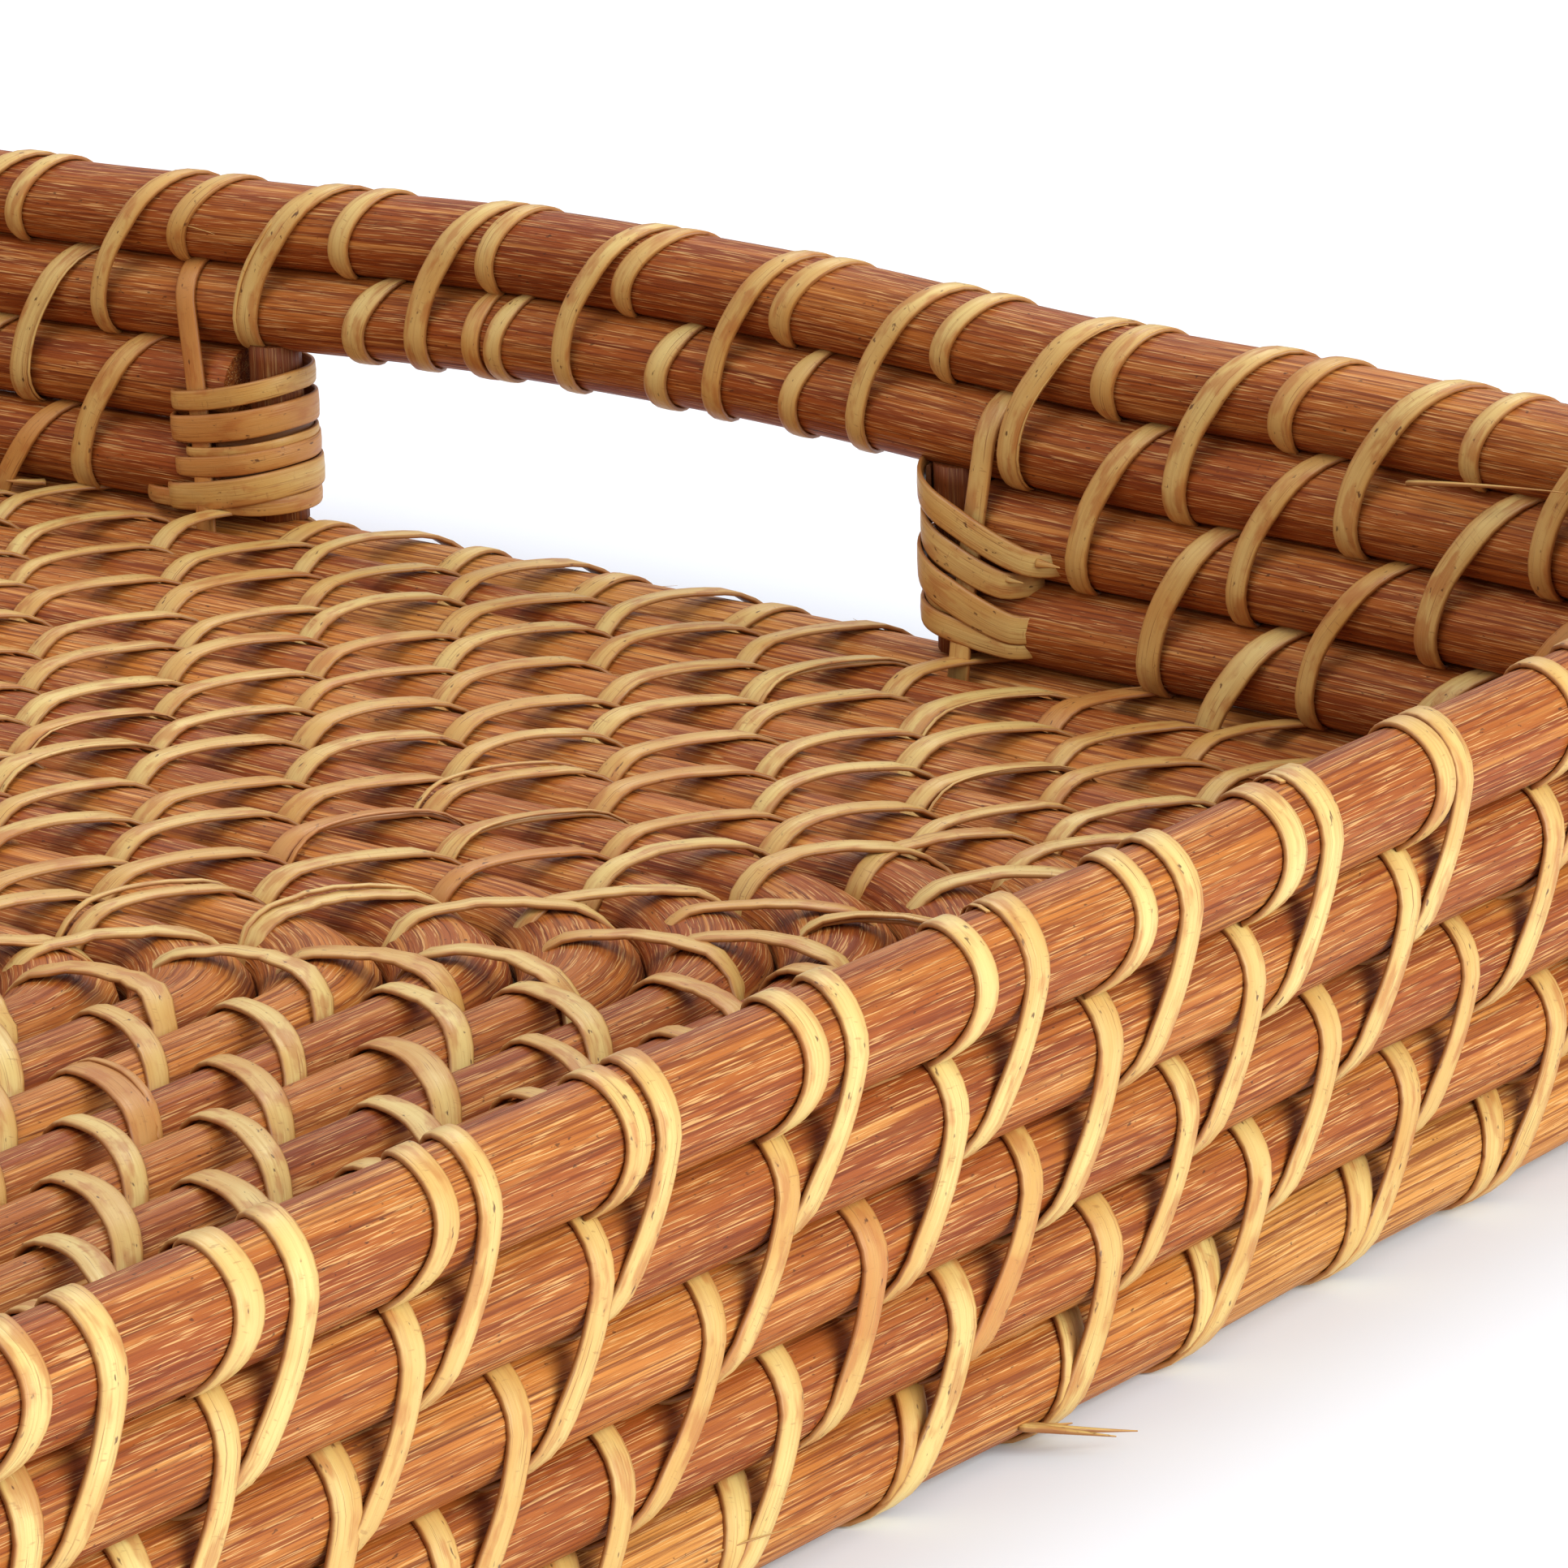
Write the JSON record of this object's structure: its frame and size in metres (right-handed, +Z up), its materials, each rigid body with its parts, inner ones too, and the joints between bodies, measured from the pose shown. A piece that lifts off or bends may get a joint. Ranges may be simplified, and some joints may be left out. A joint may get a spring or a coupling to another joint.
{
  "type": "bread basket",
  "caption": "Low rectangular bread basket coiled from round rattan rods lashed with cane splint, with rounded corners and a hand-hold cut through each end wall.",
  "frame": {"origin": "on the floor under the middle of the basket", "axes": "+Z up, +X along the length towards one hand-hold wall, +Y across the width"},
  "size_m": [0.439, 0.339, 0.0434],
  "materials": {
    "rattan_rod": "peeled round rattan, honey to red brown, satin with fine grain",
    "cane_splint": "flat split cane, pale straw, satin with brown flecks"
  },
  "bodies": {
    "root": {"base_core": "rattan_rod", "base_lashing_01": "cane_splint", "base_lashing_02": "cane_splint", "base_lashing_03": "cane_splint", "base_lashing_04": "cane_splint", "base_lashing_05": "cane_splint", "base_lashing_06": "cane_splint", "base_lashing_07": "cane_splint", "base_lashing_08": "cane_splint", "base_lashing_09": "cane_splint", "base_lashing_10": "cane_splint", "base_lashing_11": "cane_splint", "base_lashing_12": "cane_splint", "base_lashing_13": "cane_splint", "base_lashing_14": "cane_splint", "base_lashing_15": "cane_splint", "base_lashing_16": "cane_splint", "base_lashing_17": "cane_splint", "base_lashing_18": "cane_splint", "base_turn_01": "rattan_rod", "base_turn_02": "rattan_rod", "base_turn_03": "rattan_rod", "base_turn_04": "rattan_rod", "base_turn_05": "rattan_rod", "base_turn_06": "rattan_rod", "base_turn_07": "rattan_rod", "base_turn_08": "rattan_rod", "base_turn_09": "rattan_rod", "base_turn_10": "rattan_rod", "base_turn_11": "rattan_rod", "base_turn_12": "rattan_rod", "base_turn_13": "rattan_rod", "base_turn_14": "rattan_rod", "base_turn_15": "rattan_rod", "base_turn_16": "rattan_rod", "base_turn_17": "rattan_rod", "end_binding_left_back": "cane_splint", "end_binding_left_front": "cane_splint", "end_binding_right_back": "cane_splint", "end_binding_right_front": "cane_splint", "foot_hoop": "rattan_rod", "foot_hoop_wraps": "cane_splint", "handle_post_left_back": "rattan_rod", "handle_post_left_front": "rattan_rod", "handle_post_right_back": "rattan_rod", "handle_post_right_front": "rattan_rod", "handle_rail": "rattan_rod", "handle_rail_wraps": "cane_splint", "rim_rod": "rattan_rod", "rim_wraps": "cane_splint", "wall_course_2_back": "rattan_rod", "wall_course_2_front": "rattan_rod", "wall_course_3_back": "rattan_rod", "wall_course_3_front": "rattan_rod", "wall_lashing_1": "cane_splint", "wall_lashing_2": "cane_splint", "wall_lashing_3": "cane_splint", "wall_lashing_4": "cane_splint"}
  },
  "joints": []
}
